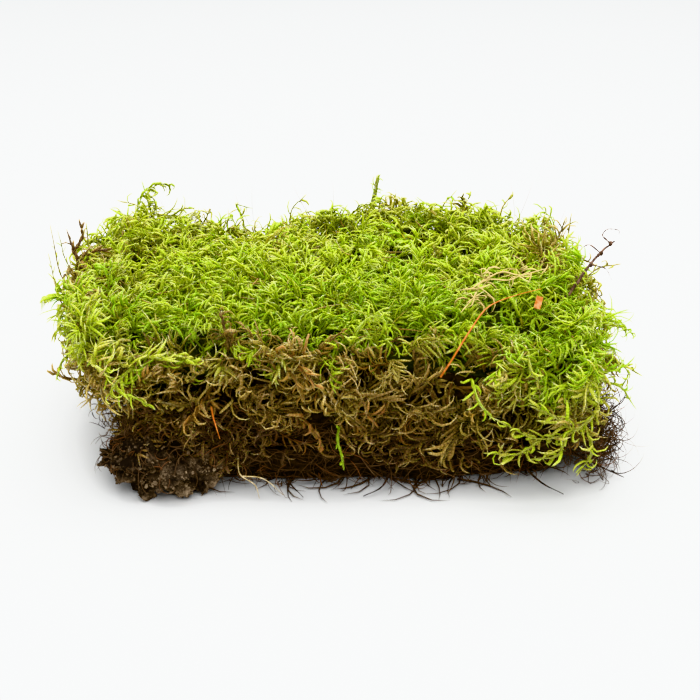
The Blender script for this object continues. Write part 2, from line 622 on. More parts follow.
def plant(name, shape, strands, material, slot, *nodes):
    """Makes one mesh of all the strands, each a bent copy of the shape."""
    verts, corners, flat = shape
    levels, level_of = np.unique(np.round(verts[:, 2], 4), return_inverse=True)
    radii = np.hypot(verts[:, 0], verts[:, 1])
    rows = np.array(strands)
    foot, first, toward = (rows[:, k : k + 3] for k in (0, 3, 6))
    bend, twist, length, width, tint, age, shade = rows[:, 9:].T
    aside = np.cross(first, toward)
    count = len(rows)

    def way(share):
        turned = (bend * share ** HOOK_POWER)[:, None]
        bent = first * np.cos(turned) + toward * np.sin(turned) + aside * twist[:, None] * share
        return bent / np.linalg.norm(bent, axis=1, keepdims=True)

    # Walk up the strands level by level, carrying the side that the cross-section keeps to
    rng = np.random.default_rng(SEED + count)
    side = aside + np.cross(way(0.0), rng.normal(size=(count, 3))) * ROLL
    spot = foot.copy()
    places, sides, fronts = [], [], []
    before = 0.0
    for level in levels:
        spot = spot + way((before + level) / 2) * ((level - before) * length)[:, None]
        spot = np.clip(spot, LOWEST, HIGHEST)
        heading = way(level)
        side = side - (side * heading).sum(1, keepdims=True) * heading
        side = side / np.linalg.norm(side, axis=1, keepdims=True)
        places.append(spot)
        sides.append(side)
        fronts.append(np.cross(heading, side))
        before = level
    centre = np.stack(places, 1)[:, level_of]
    across = np.stack(sides, 1)[:, level_of] * (verts[:, 1] * width[:, None])[..., None]
    ahead = np.stack(fronts, 1)[:, level_of] * (verts[:, 0] * flat * width[:, None])[..., None]
    points = centre + across - ahead
    points[..., 2] = np.maximum(points[..., 2], OVER_GROUND)
    values = {
        "along": np.tile(verts[:, 2], count),
        "edge": np.tile(2 * np.abs(verts[:, 1]) / np.maximum(radii, 0.03) - 1, count),
        "tint": np.repeat(tint, len(verts)),
        "age": np.repeat(age, len(verts)),
        "shade": np.repeat(shade, len(verts)),
    }
    made = joined_copies(name, points, corners, values)
    lay_out(made.data, verts, corners, count)
    finish_piece(made, material, slot, *nodes)


def joined_copies(name, points, corners, values):
    """One mesh of copies of a triangulated shape: points by copy and vertex, in millimetres."""
    count, size, _ = points.shape
    shifts = np.arange(count)[:, None] * size
    mesh = bpy.data.meshes.new(name)
    mesh.vertices.add(count * size)
    mesh.vertices.foreach_set("co", (points * MM).ravel())
    mesh.loops.add(count * len(corners))
    mesh.loops.foreach_set("vertex_index", (corners[None] + shifts).ravel())
    mesh.polygons.add(count * len(corners) // 3)
    mesh.polygons.foreach_set("loop_start", np.arange(0, count * len(corners), 3))
    mesh.update(calc_edges=True)
    mesh.polygons.foreach_set("use_smooth", np.ones(len(mesh.polygons), bool))
    for key, value in values.items():
        mesh.attributes.new(key, "FLOAT", "POINT").data.foreach_set("value", value)
    made = bpy.data.objects.new(name, mesh)
    bpy.context.scene.collection.objects.link(made)
    return made


def lay_out(mesh, verts, corners, count):
    """Gives each strand a tall cell of the bake's map: its height up it, and its three sides across."""
    faces = corners.reshape(-1, 3)
    angle = np.arctan2(verts[:, 1], verts[:, 0])[faces]
    middle = verts[faces].mean(1)
    facing = np.arctan2(middle[:, 1], middle[:, 0])[:, None]
    beside = (angle - facing + math.pi) % (2 * math.pi) - math.pi
    across = 0.5 + 0.3 * (facing + beside) / math.pi
    height = 0.04 + 0.92 * verts[:, 2][faces]
    rows = max(1, round(math.sqrt(count / 6)))
    columns = math.ceil(count / rows)
    index = np.arange(count)
    low = np.stack([(index % columns) / columns, (index // columns) / rows], 1)
    cell = np.stack([across.ravel(), height.ravel()], 1) * (1 / columns, 1 / rows)
    uv = low[:, None] + cell[None]
    mesh.uv_layers.new(name="OFBake").uv.foreach_set("vector", uv.astype(np.float32).ravel())


def finish_piece(piece, material, slot, *nodes):
    """Gives a piece its material, its body and slot, and the nodes that it stands for."""
    piece.data.materials.append(material)
    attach(piece, "root")
    if nodes:
        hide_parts(*nodes)


def loose(rng, size):
    """A random small vector."""
    return Vector((rng.gauss(0, size), rng.gauss(0, size), rng.gauss(0, size)))


def drift(point, rng, turn, stray):
    """The level way in which neighbouring shoots lie down together."""
    angle = math.tau * 1.3 * noise.noise(point / 27 + Vector((turn, 0, 0))) + rng.gauss(0, stray)
    return Vector((math.cos(angle), math.sin(angle), 0))


def clumped(point):
    """How a shoot leans out of the tuft that it belongs to, and how much it is raised there."""
    cell = Vector((point.x, point.y, point.z * 0.5)) / CLUMP
    apart = Vector((0.3, 0, 0))
    away = (cell - noise.voronoi(cell + apart)[1][0] + apart) * CLUMP
    away.z = 0
    return away / CLUMP, CLUMP_RISE * (0.5 - away.length / CLUMP)


def crown_spots(rng):
    """Points and normals all over the crown, about evenly spaced."""
    columns, rows = round(LENGTH / CROWN_SPACING), round(DEPTH / CROWN_SPACING)
    for column in range(columns):
        for row in range(rows):
            u = -1 + 2 * (column + rng.random()) / columns
            v = -1 + 2 * (row + rng.random()) / rows
            point = crown_point(u, v)
            normal = (crown_point(nudged(u), v) - point).cross(crown_point(u, nudged(v)) - point)
            normal = normal.normalized() * (1 if normal.z > 0 else -1)
            outward = Vector((point.x / 95, point.y / 62, 0)) * max(0.0, rim_of(u, v) - 0.75) * 3.2
            yield u, v, point, (normal + outward).normalized()


def flank_spots(spacing, low, high, rng, above=0.0):
    """Points and normals round the flanks, about evenly spaced, from above a low height to a high one."""
    sides = ((0, -1, LENGTH), (1, 0, DEPTH), (0, 1, LENGTH), (-1, 0, DEPTH))
    for side_u, side_v, length in sides:
        columns = round(length / spacing)
        for column in range(columns):
            along = -1 + 2 * (column + rng.random()) / columns
            u, v = (side_u, along) if side_u else (along, side_v)
            bottom, top = low(u, v) + above, high(u, v)
            rows = max(1, round((top - bottom) / spacing))
            for row in range(rows):
                height = bottom + (top - bottom) * (row + rng.random()) / rows
                point = place(u, v, height)
                outward = Vector((u * abs(u) ** 3, v * abs(v) ** 3, 0)).normalized()
                slope = place(u, v, height + 1) - place(u, v, height - 1)
                normal = (outward - UP * outward.dot(slope) / slope.z).normalized()
                yield u, v, point, normal


def station(stations, place_along):
    """The height at a place along the front, straight between its stations."""
    for (before, low), (after, high) in zip(stations, stations[1:]):
        if place_along <= after:
            return low + (high - low) * (place_along - before) / (after - before)
    return stations[-1][1]


def on_front(stations, u, v, elsewhere):
    """A value that follows its stations along the front, and is another everywhere else."""
    return elsewhere + (station(stations, u) - elsewhere) * max(0.0, -v) ** 4


def dark_top(u, v):
    """Where the dead shoots turn dark brown."""
    return on_front(TAN_ENDS, u, v, SIDE_TAN_END)


def rise_at(u, v):
    """How much higher the shoots stand along the back edge and at the left end."""
    return station(BACK_RISES, u) * max(0.0, v) ** 2 + LEFT_RISE * max(0.0, -u) ** 6


def crown_top(u, v):
    return crown_height(u, v) + rise_at(u, v)


def age_at(u, v, point, rng):
    """How far a shoot has faded: 0 for fresh green on the crown, 1 for dark brown near the ground."""
    green_end = on_front(GREEN_ENDS, u, v, LEFT_GREEN_END if u < -0.8 else SIDE_GREEN_END)
    patch = noise.noise(point / 12 + Vector((3, 8, 5)))
    over = point.z - green_end - 5 * noise.noise(point / 14 + Vector((9, 1, 4)))
    if over > 0:
        faded = FRESH_AGE + FADING * math.exp(-over / 4.5) + 0.08 * v + 0.04 * max(0.0, -u)
    else:
        faded = TAN_AGE + on_front(TAN_SHARES, u, v, SIDE_TAN_SHARE) * min(1.0, -over / 12)
    darker = clamped((dark_top(u, v) + 4 - point.z) / 12)
    faded += (DARK_AGE - faded) * darker
    for x, y, z, size in BROWN_PATCHES:
        if (point - Vector((x, y, z))).length < size:
            faded = max(faded, rng.uniform(0.35, 0.62))
    spread = 0.05 if over > 0 else 0.07 + 0.08 * darker
    return clamped(faded + 0.13 * patch + rng.gauss(0, spread))


def add_stem(strands, foot, curve, reach, width, scales, tint, age, shade):
    """A stem of overlapping leafy strands, which cover each other like scales."""
    spot = foot.copy()
    for index in range(scales):
        share = index / scales
        ahead = min(1.0, share + 1.8 / scales)
        way, later = way_at(curve, share), way_at(curve, ahead)
        piece = arc(way, later, math.degrees(way.angle(later)))
        strands.add(spot, piece, reach * (ahead - share), width * (1 - 0.45 * share), tint, age, shade)
        spot = spot + way_at(curve, share + 0.5 / scales) * (reach / scales)


def grow_shoot(strands, foot, curve, outward, habit, age, shade, rng, full=1.0):
    """One shoot: a leafy stem, and branchlets on two hands of it or all round, curled over alike."""
    reach = rng.uniform(*habit.reach)
    stout = rng.uniform(0.7, 1.2)
    longest = rng.uniform(*habit.length)
    hook = rng.uniform(*habit.hook)
    opening = math.radians(habit.spread * rng.uniform(0.75, 1.2))
    light = 0.95 if age > 0.45 and rng.random() < 0.15 else rng.random() * 0.8
    ceiling = max(0.8, light)
    stem_tint = 1.0 if rng.random() < 0.2 else light
    whorled = rng.random() < habit.whorled
    add_stem(strands, foot, curve, reach, habit.stem * stout, habit.scales, stem_tint, age, shade)
    across = way_at(curve, 0.5).cross(outward + loose(rng, 0.35)).normalized()
    sway = across * rng.choice((-1, 1))
    spot, before = foot.copy(), 0.0
    for index in range(habit.branchlets):
        share = habit.bare + (1 - habit.bare) * (index + rng.uniform(0, 0.4)) / habit.branchlets
        spot = spot + way_at(curve, (before + share) / 2) * (share - before) * reach
        before = share
        heading = way_at(curve, share)
        if whorled:
            hand = Quaternion(heading, GOLDEN_TURN * index) @ across
            face = outward
        else:
            hand = across if index % 2 else -across
            face = heading.cross(hand)
            face = face * (1 if face.dot(outward) > 0 else -1)
        risen = clamped((spot - foot).dot(outward) / 10)
        envelope = (0.72 + 0.28 * math.sin(math.pi * share)) * (1 - 0.35 * share ** 3)
        add_branchlet(
            strands, spot, heading, hand, face, sway, hook * rng.uniform(0.7, 1.25),
            opening * (1 - 0.4 * share), habit.lift, longest * envelope * rng.uniform(0.75, 1.2),
            habit.width * stout * rng.uniform(0.6, 1.15),
            min(ceiling, max(0.0, light + rng.gauss(0, 0.15))),
            age + rng.gauss(0, 0.03), shade + (full - shade) * risen, rng,
        )


def add_branchlet(
    strands, spot, heading, hand, face, sway, hook, opening, lift, length, width, tint, age, shade, rng
):
    """A branchlet that leaves the stem to one hand and hooks over, away from the side that it faces."""
    out = heading * math.cos(opening) + hand * math.sin(opening) + face * lift + loose(rng, 0.15)
    toward = sway * rng.uniform(0.2, 1.0) + heading * 0.2 - face * rng.uniform(0.1, 0.9) + loose(rng, 0.3)
    curve = arc(out, toward, hook, rng.gauss(0, 0.35))
    strands.add(spot, curve, length, width, tint, clamped(age), shade)


def add_curls(strands, spot, outward, number, lengths, width, age, shade, rng):
    """Fine curled tips that stand out of the tangle round a shoot."""
    for _ in range(number):
        sideways = loose(rng, 1)
        sideways = (sideways - outward * sideways.dot(outward)).normalized()
        first = outward * rng.uniform(0.1, 0.9) + sideways
        toward = -outward * rng.uniform(-0.2, 1.0) + loose(rng, 0.7)
        curve = bent(rng, first, toward, 90, 270, 0.4)
        foot = spot + sideways * rng.uniform(0, 3) + outward * rng.uniform(-3, 1.0)
        light = rng.uniform(0.2, 0.85)
        strands.add(foot, curve, rng.uniform(*lengths), width * rng.uniform(0.6, 1.5), light, age, shade)


def add_wiry(strands, spot, lean, normal, rng):
    """A thin brown stem that lies among the green shoots."""
    curve = arc(lean + normal * rng.uniform(-0.1, 0.5), loose(rng, 1), rng.uniform(10, 80), 0.2)
    strands.add(spot - lean * 5, curve, rng.uniform(8, 15), 0.5, 0.9, rng.uniform(0.6, 0.9))


def hollow_near(point):
    """1 in the middle of one of the crown's hollows, and 0 away from them."""
    return max(0.0, *(1 - math.hypot(point.x - x, point.y - y) / size for x, y, size in HOLLOWS))


def lying_near(point, upright=0.0):
    """1 at a stem that lies on the moss, and 0 away from it; upright is how far the height counts."""
    nearest = min(
        math.hypot((point.xy - spot.xy).length, upright * (point.z - spot.z)) for spot in LYING_SPOTS
    )
    return max(0.0, 1 - nearest / LYING_WIDTH)


def crown_shoots(tufts, curls):
    """Shoots that rise through the crown and arch over, many of them leaning with their neighbours."""
    rng = random.Random(SEED)
    for u, v, point, normal in crown_spots(rng):
        lean = drift(point, rng, 0.0, 1.0)
        point.z += rise_at(u, v)
        away, swell = clumped(point)
        hollow = hollow_near(point)
        rise = rng.uniform(-1.2, 1.2) + CROWN_RELIEF * noise.noise(point / 11) + swell
        rise -= LYING_DROP * lying_near(point) + HOLLOW_DEPTH * hollow
        point.x += min(0.0, normal.x) * LEFT_REACH
        first = normal * rng.uniform(0.7, 1.2) + lean * 0.3 + away * 0.9 + loose(rng, 0.2)
        toward = lean * 0.4 + away * 1.6 - normal * rng.uniform(0.2, 0.9) + loose(rng, 0.3)
        curve = bent(rng, first, toward, 35, 110, 0.2)
        foot = point - normal * (CROWN_DEPTH + 2.0 - rise) - lean * 2.0 - away * 4.0
        age = age_at(u, v, point, rng)
        if rng.random() < ARCH_SHARE and -2 < rise < 3:
            first = normal * 0.5 + lean + loose(rng, 0.15)
            curve = bent(rng, first, lean * 0.3 - normal + loose(rng, 0.3), 70, 120, 0.3)
            grow_shoot(tufts, foot, curve, normal, ARCH_HABIT, age, 1.0, rng)
        else:
            lit = (0.78 + 0.22 * v) * (1 - 0.5 * hollow)
            full = min(1.0, 0.93 + 0.25 * v)
            grow_shoot(tufts, foot, curve, normal, CROWN_HABIT, age, lit, rng, full)
        tip = point + normal * (rise - 0.5)
        if rng.random() < CURL_SHARE:
            add_curls(curls, tip, normal, 1, (5, 10), 0.6, age, 1.0, rng)
        if rng.random() < WIRY_SHARE:
            add_wiry(curls, tip, lean, normal, rng)


def flank_shoots(tufts, curls):
    """Shoots that come out of the flanks of the living moss, arch over and hang."""
    rng = random.Random(SEED + 1)
    for u, v, point, normal in flank_spots(FLANK_SPACING, bed_height, crown_top, rng, above=2):
        lean = drift(point, rng, 4.0, 0.9)
        relief = FLANK_RELIEF * noise.noise(point / 10) - LEFT_REACH * min(0.0, normal.x)
        relief -= FLANK_RELIEF * lying_near(point)
        first = normal * 0.8 + UP * 0.4 + lean * 0.4 + loose(rng, 0.2)
        toward = lean * 0.6 - UP * rng.uniform(0.1, 0.9) - normal * rng.uniform(0.1, 0.8)
        curve = bent(rng, first, toward, 60, 140, 0.25)
        foot = point - normal * (FLANK_DEPTH - relief)
        age = age_at(u, v, point, rng)
        if age < LAST_GREEN_AGE:
            grow_shoot(tufts, foot, curve, normal, FLANK_HABIT, age, 0.65, rng)
        elif relief > -0.6:
            grow_shoot(tufts, foot, curve, normal, DEAD_HABIT, age, 0.4, rng)
        else:
            continue
        add_curls(curls, point + normal * (relief - 1), normal, 2, (5, 11), 0.6, age, 1.0, rng)


def dead_shoots(tufts, curls):
    """Dead shoots between the living moss and the mat, strongly curled, with dark hollows between them."""
    rng = random.Random(SEED + 2)
    for u, v, point, normal in flank_spots(
        DEAD_SPACING, mat_height, lambda u, v: bed_height(u, v) + 6, rng
    ):
        relief = DEAD_RELIEF * noise.noise(point / 9) - DEAD_RELIEF * lying_near(point, upright=0.7)
        if relief < 0.1 and rng.random() < HOLLOWS_EMPTY:
            continue
        lean = drift(point, rng, 7.0, 1.0)
        low_down = max(0.0, 1 - (point.z - mat_height(u, v)) / 12)
        lean = (lean + UP * rng.gauss(0.9 * low_down - 0.1, 0.7)).normalized()
        first = normal * 0.7 + lean * 0.7 + loose(rng, 0.3)
        toward = lean * 0.8 - normal * rng.uniform(-0.2, 0.8) + loose(rng, 0.5)
        curve = bent(rng, first, toward, 50, 150, 0.4)
        foot = point - normal * (DEAD_DEPTH - relief) - lean * 3.0
        age = age_at(u, v, point, rng)
        grow_shoot(tufts, foot, curve, normal, DEAD_HABIT, age, 0.4, rng)
        add_curls(curls, point + normal * (relief - 2), normal, 3, (6, 13), 0.75, age, 0.9, rng)


def side_fibres():
    """Fine roots in a tangle all round the mat and up into the dead moss, and flat under the block."""
    rng = random.Random(SEED + 3)
    strands = Strands()
    for u, v, point, normal in flank_spots(
        FIBRE_SPACING, lambda u, v: 0.8, lambda u, v: dark_top(u, v) + 4, rng
    ):
        along = normal.cross(UP).normalized() * rng.choice((-1, 1))
        first = normal * rng.uniform(0.0, 0.6) + along * rng.uniform(0.5, 1.2) + loose(rng, 0.3)
        toward = loose(rng, 1) - normal * 0.5 - UP * 0.2
        curve = bent(rng, first, toward, 20, 120, 0.5)
        foot = point - normal * (3.0 - MAT_RELIEF * noise.noise(point / 9)) + loose(rng, 0.8)
        width = 0.22 + 0.38 * rng.random() ** 3
        length = rng.uniform(6, 14) * min(1.0, 0.5 + point.z / 12)
        strands.add(foot, curve, length, width, rng.random(), 1.0)
    for _ in range(UNDER_FIBRES):
        u, v = rng.uniform(-0.95, 0.95), rng.uniform(-0.95, 0.95)
        first, toward = loose(rng, 1), loose(rng, 1)
        first.z = toward.z = 0
        foot = place(u, v, 0.7)
        curve = arc(first, toward, rng.uniform(20, 160))
        strands.add(foot, curve, rng.uniform(14, 26), rng.uniform(0.4, 0.8), rng.random() * 0.7, 1.0)
    return strands


def wiry_roots():
    """Long wiry roots that curl out of the mat in tangles at its corners, and along its lower edge."""
    rng = random.Random(SEED + 10)
    strands = Strands()
    for middle, spread, number, longest in ROOT_TANGLES:
        for _ in range(number):
            foot = Vector(rng.gauss(at, wide) for at, wide in zip(middle, spread))
            foot.z = max(foot.z, 1.5)
            if not in_block(foot):
                continue
            outward = Vector((math.copysign(0.5, foot.x), math.copysign(0.3, foot.y), 0.0))
            curve = bent(rng, outward + loose(rng, 0.7), loose(rng, 1), 90, 340, 0.7)
            length = longest * rng.uniform(0.35, 1.0)
            strands.add(foot, curve, length, rng.uniform(0.2, 0.44), rng.random(), 0.8)
    for _ in range(EDGE_ROOTS):
        u, v = rng.uniform(-1, 1), rng.choice((-1, 1))
        if rng.random() < 0.4:
            u, v = v, u
        foot = place(u * 0.98, v * 0.98, rng.uniform(1.5, 7))
        outward = Vector((foot.x / 80, foot.y / 55, -0.3))
        curve = bent(rng, outward + loose(rng, 0.6), loose(rng, 1), 40, 220, 0.6)
        strands.add(foot, curve, rng.uniform(5, 12), rng.uniform(0.24, 0.55), rng.random() * 0.9, 1.0)
    return strands


def cut_cube(size, cuts):
    """A cube whose faces are cut into a grid."""
    cube = added(bpy.ops.mesh.primitive_cube_add, size=size)
    bpy.ops.object.mode_set(mode="EDIT")
    bpy.ops.mesh.subdivide(number_cuts=cuts)
    bpy.ops.object.mode_set(mode="OBJECT")
    return cube


def core(name, low, high, inset, material, slot, node):
    """The dim inside of one layer: a block shrunk from the layer's faces, with a rough surface."""
    made = cut_cube(size=2, cuts=19)
    made.name = name
    inward = Vector((1 - inset / HALF_LENGTH, 1 - inset / HALF_DEPTH, 1))
    for vert in made.data.vertices:
        u, v, share = vert.co.x, vert.co.y, (vert.co.z + 1) / 2
        bottom = low(u, v)
        point = place(u, v, bottom + (high(u, v) - bottom) * share)
        rough = 1 + 0.03 * noise.noise(point / 6) + 0.05 * noise.noise(point / 13)
        vert.co = Vector((point.x * inward.x * rough, point.y * inward.y * rough, point.z)) * MM
    finish_piece(made, material, slot, node)


def build_cores():
    dim = {"roughness": 0.95, "grains": 420.0, "gloss": 0.05, "shares": (0.4, 0.7), "bump": (0.8, 0.001)}
    green = grained_finish("shade under the moss", (0.009, 0.012, 0.003), (0.028, 0.032, 0.006), **dim)
    brown = grained_finish("shade in the dead moss", (0.008, 0.005, 0.003), (0.030, 0.018, 0.009), **dim)
    core("moss_core", bed_height, lambda u, v: crown_top(u, v) - CROWN_DEPTH, 10, green, *LIVING)
    core("dead_core", mat_height, bed_height, 11, brown, *DEAD)
    core("mat_core", lambda u, v: MAT_UNDERSIDE, mat_height, 5.5, brown, *MAT)


def smooth_line(points, steps):
    """A Catmull-Rom curve through points, with this many steps between each two."""
    points = [Vector(point) for point in points]
    ends = [2 * points[0] - points[1], *points, 2 * points[-1] - points[-2]]
    line = []
    for a, b, c, d in zip(ends, ends[1:], ends[2:], ends[3:]):
        for step in range(steps):
            t = step / steps
            line.append(
                0.5 * (2 * b + (c - a) * t + (2 * a - 5 * b + 4 * c - d) * t * t
                       + (3 * b - a - 3 * c + d) * t ** 3)
            )
    line.append(points[-1].copy())
    return line


def round_stem(points, radius, tip_share=0.25):
    """A stem with a round section along a smooth line, thinner towards its tip."""
    line = smooth_line(points, steps=6)
    curve = added(bpy.ops.curve.primitive_nurbs_path_add).data
    curve.splines.clear()
    spline = curve.splines.new("POLY")
    spline.points.add(len(line) - 1)
    for index, (knot, spot) in enumerate(zip(spline.points, line)):
        knot.co = (*(spot * MM), 1)
        knot.radius = 1 - (1 - tip_share) * index / (len(line) - 1)
    curve.bevel_depth = radius * MM
    curve.bevel_resolution = 2
    curve.use_fill_caps = True
    bpy.ops.object.convert(target="MESH")
    return bpy.context.object


def gnarl(piece, amount, size):
    """Moves a piece's surface in and out by a little noise, so that it looks grown."""
    for vert in piece.data.vertices:
        bulge = noise.noise(vert.co / (size * MM))
        vert.co += vert.normal * bulge * amount * MM


def joined(name, pieces):
    """Makes one piece of several."""
    bpy.ops.object.select_all(action="DESELECT")
    for piece in pieces:
        piece.select_set(True)
    bpy.context.view_layer.objects.active = pieces[0]
    bpy.ops.object.join()
    made = bpy.context.object
    made.name = name
    return made


def finish_stem(name, parts, amount, finish, slot, node, size=1.1):
    """Makes a stem's parts one piece with a slightly uneven surface."""
    made = joined(name, parts)
    gnarl(made, amount, size)
    bpy.ops.object.shade_smooth()
    finish_piece(made, finish, slot, node)


def nub(spot, radius):
    """A small knot on a twig."""
    middle = Vector(spot) * MM
    made = added(bpy.ops.mesh.primitive_ico_sphere_add, subdivisions=3, radius=radius * MM, location=middle)
    bpy.ops.transform.resize(value=(1.0, 0.8, 1.3))
    bpy.ops.object.transform_apply(location=True, rotation=False, scale=True)
    return made


def build_dark_twig():
    parts = [round_stem(DARK_TWIG, radius=0.72, tip_share=0.4)]
    parts += [round_stem(side, radius=0.3, tip_share=0.3) for side in DARK_TWIG_SIDES]
    parts += [nub(side[0], radius=0.75) for side in DARK_TWIG_SIDES]
    parts += [nub(spot, radius=0.6) for spot in smooth_line(DARK_TWIG, 3)[2::3]]
    bark = grained_finish("twig bark", (0.050, 0.026, 0.016), (0.170, 0.095, 0.060), 0.75, 700.0)
    finish_stem("curled_twig", parts, 0.22, bark, "twig", "dark_twig", size=0.9)


def build_bark_flake():
    """A small split chip of orange bark, with a broken paler end."""
    foot, tip = (Vector(point) for point in BARK_FLAKE)
    chip = cut_cube(size=1, cuts=5)
    chip.name = "split_chip"
    turn = UP.rotation_difference(tip - foot)
    middle = (foot + tip) / 2
    for vert in chip.data.vertices:
        across, thick, along = vert.co
        ragged = 0.3 * noise.noise(Vector((across * 6, thick * 3, 2.0))) * abs(along) * 2
        spot = Vector((across * 2.1, thick * 0.9 - 1.2 * across * across, along * 4.0 + ragged))
        vert.co = (middle + turn @ spot) * MM
    gnarl(chip, amount=0.12, size=0.7)
    bark = grained_finish("orange bark", (0.52, 0.16, 0.03), (0.80, 0.42, 0.16), 0.6, 900.0)
    finish_piece(chip, bark, "stalk", "bark_flake")


def build_stems():
    orange = grained_finish("orange stalk", (0.50, 0.13, 0.02), (0.72, 0.28, 0.07), 0.5, 500.0)
    cream = grained_finish("pale root", (0.42, 0.30, 0.12), (0.74, 0.62, 0.38), 0.7, 600.0)
    dark = grained_finish("dark root", (0.012, 0.007, 0.005), (0.060, 0.034, 0.020), 0.8, 700.0)
    build_dark_twig()
    build_bark_flake()
    finish_stem("orange_stem", [round_stem(ORANGE_STALK, 0.34)], 0.05, orange, "stalk", "orange_stalk")
    finish_stem("rusty_needle", [round_stem(RED_NEEDLE, 0.36)], 0.05, orange, "stalk", "red_needle")
    fork = [round_stem(PALE_ROOT, 0.3), round_stem(PALE_ROOT_SIDE, 0.28)]
    finish_stem("forked_pale_root", fork, 0.1, cream, "straw", "pale_root")
    for number, points in enumerate(DARK_ROOTS, 1):
        root = [round_stem(points, 0.45)]
        finish_stem(f"loose_root_{number}", root, 0.15, dark, "roots", f"root_strand_{number}")


def leafy_line(strands, points, habit, age, tint, outward, step, rng):
    """A leafy stem along a smooth line, with branchlets left and right of it, a step apart."""
    line = smooth_line(points, steps=8)
    since = step / 2
    hand_sign = 1
    side = rng.choice((-1, 1))
    for index, spot in enumerate(line[:-1]):
        share = index / len(line)
        later = min(index + 4, len(line) - 1)
        way = line[index + 1] - spot
        onward = line[later] - line[later - 1]
        stem = arc(way, onward, math.degrees(way.angle(onward)))
        strands.add(spot, stem, way.length * 4.5, habit.stem * (1 - 0.5 * share), tint, age)
        since += way.length
        if since < step:
            continue
        since = 0.0
        across = way.cross(outward + loose(rng, 0.3)).normalized()
        add_branchlet(
            strands, spot, way.normalized(), across * hand_sign, outward, across * side,
            rng.uniform(*habit.hook), math.radians(habit.spread * rng.uniform(0.7, 1.3)), habit.lift,
            rng.uniform(*habit.length) * (1 - 0.4 * share), habit.width * rng.uniform(0.6, 1.15),
            rng.random() * 0.7, age + rng.gauss(0, 0.06), 1.0, rng,
        )
        hand_sign = -hand_sign


def build_leafy_singles(branchlet, wisp, leafy, straw):
    """The green, brown and straw-coloured shoots that lie by themselves."""
    rng = random.Random(SEED + 5)
    front = Vector((0, -1, 0.3)).normalized()

    def build(name, slot, node, lines, habit, age, tint, step):
        strands = Strands()
        for points in lines:
            leafy_line(strands, points, habit, age, tint, front, step, rng)
        plant(name, branchlet, strands, leafy, slot, node)

    build("low_green_spray", "fresh_moss", "low_green_shoot", LOW_GREEN_SHOOTS, SPRAY_HABIT, 0.26, 0.5, 1.0)
    stray = [STRAY_GREEN_SHOOT]
    build("hanging_green_shoot", "fresh_moss", "stray_green_shoot", stray, HANGING_HABIT, 0.05, 0.5, 3.0)
    right, left = BROWN_SHOOTS_RIGHT, BROWN_SHOOTS_LEFT
    build("upright_brown_shoot", "dead_moss", "brown_shoot_right", right, UPRIGHT_HABIT, 0.38, 0.6, 0.7)
    build("forked_brown_shoot", "twig", "brown_shoot_left", left, FORKED_HABIT, 0.84, 0.5, 1.8)
    for number, points in enumerate(STRAW_STRANDS, 1):
        pale = Strands()
        leafy_line(pale, points, STRAW_HABIT, 0.0, 0.6, UP, LONGER_THAN_ALL, rng)
        for spot in smooth_line(points, 4):
            add_curls(pale, spot + UP * 1.4, UP, STRAW_LOOPS, (6, 12), 0.5, 0.0, 1.0, rng)
        plant(f"dry_straw_{number}", wisp, pale, straw, "straw", f"straw_strand_{number}")


def tall_shoots():
    """The shoots that stand out of the crown or hang over its edges, each along its own line."""
    rng = random.Random(SEED + 8)
    strands = Strands()
    for points in TALL_SHOOTS:
        age = rng.uniform(0.08, 0.3)
        tint = rng.choice((0.5, 0.95))
        habit = BLADE_HABIT if points[-1][0] < BLADES_BEYOND else TALL_HABIT
        leafy_line(strands, points, habit, age, tint, Vector((0, -0.5, 0.9)), 2.0, rng)
    for points in EDGE_SHOOTS:
        outward = Vector((points[0][0], points[0][1], 30)).normalized()
        leafy_line(strands, points, EDGE_HABIT, rng.uniform(0.08, 0.25), 0.5, outward, 1.5, rng)
    return strands


def soil_relief(spot):
    """How far a clod's surface is raised by its lumps and crumbs, in millimetres."""
    coarse = 0.5 - noise.voronoi(spot / 6.5)[0][0]
    fine = 0.5 - noise.voronoi(spot / 2.3)[0][0]
    return 3.4 * coarse + 1.7 * fine + 0.4 * noise.noise(spot / 0.8) - 1.5


def dustiness(spot, raised):
    """How pale the soil is: raised crumbs most, and more so low down at the clod's right."""
    side = 0.14 * (spot.x - CLOD_MIDDLE.x) / CLOD_REACH.x - 0.2 * (spot.z - CLOD_MIDDLE.z) / CLOD_REACH.z
    return 0.42 + side + 0.2 * raised + 0.3 * noise.noise(spot / 4)


def soil_lump(middle, reach, cuts, lumpy):
    """A lump of crumbly soil, with how pale each of its points is."""
    body = added(bpy.ops.mesh.primitive_ico_sphere_add, subdivisions=cuts, radius=1)
    paleness = []
    for vert in body.data.vertices:
        way = vert.co.normalized()
        bulge = noise.noise(way * 1.7 + middle) * 1.6 + noise.noise(way * 4.3 + middle) * 0.9
        spot = middle + way * reach * (1 + lumpy * bulge)
        raised = soil_relief(spot)
        paleness.append(dustiness(spot, raised))
        spot += way * raised
        spot.z = max(spot.z, 0.1)
        vert.co = spot * MM
    for key, values in (("relief", paleness), ("tint", [0.3] * len(paleness))):
        body.data.attributes.new(key, "FLOAT", "POINT").data.foreach_set("value", values)
    return body


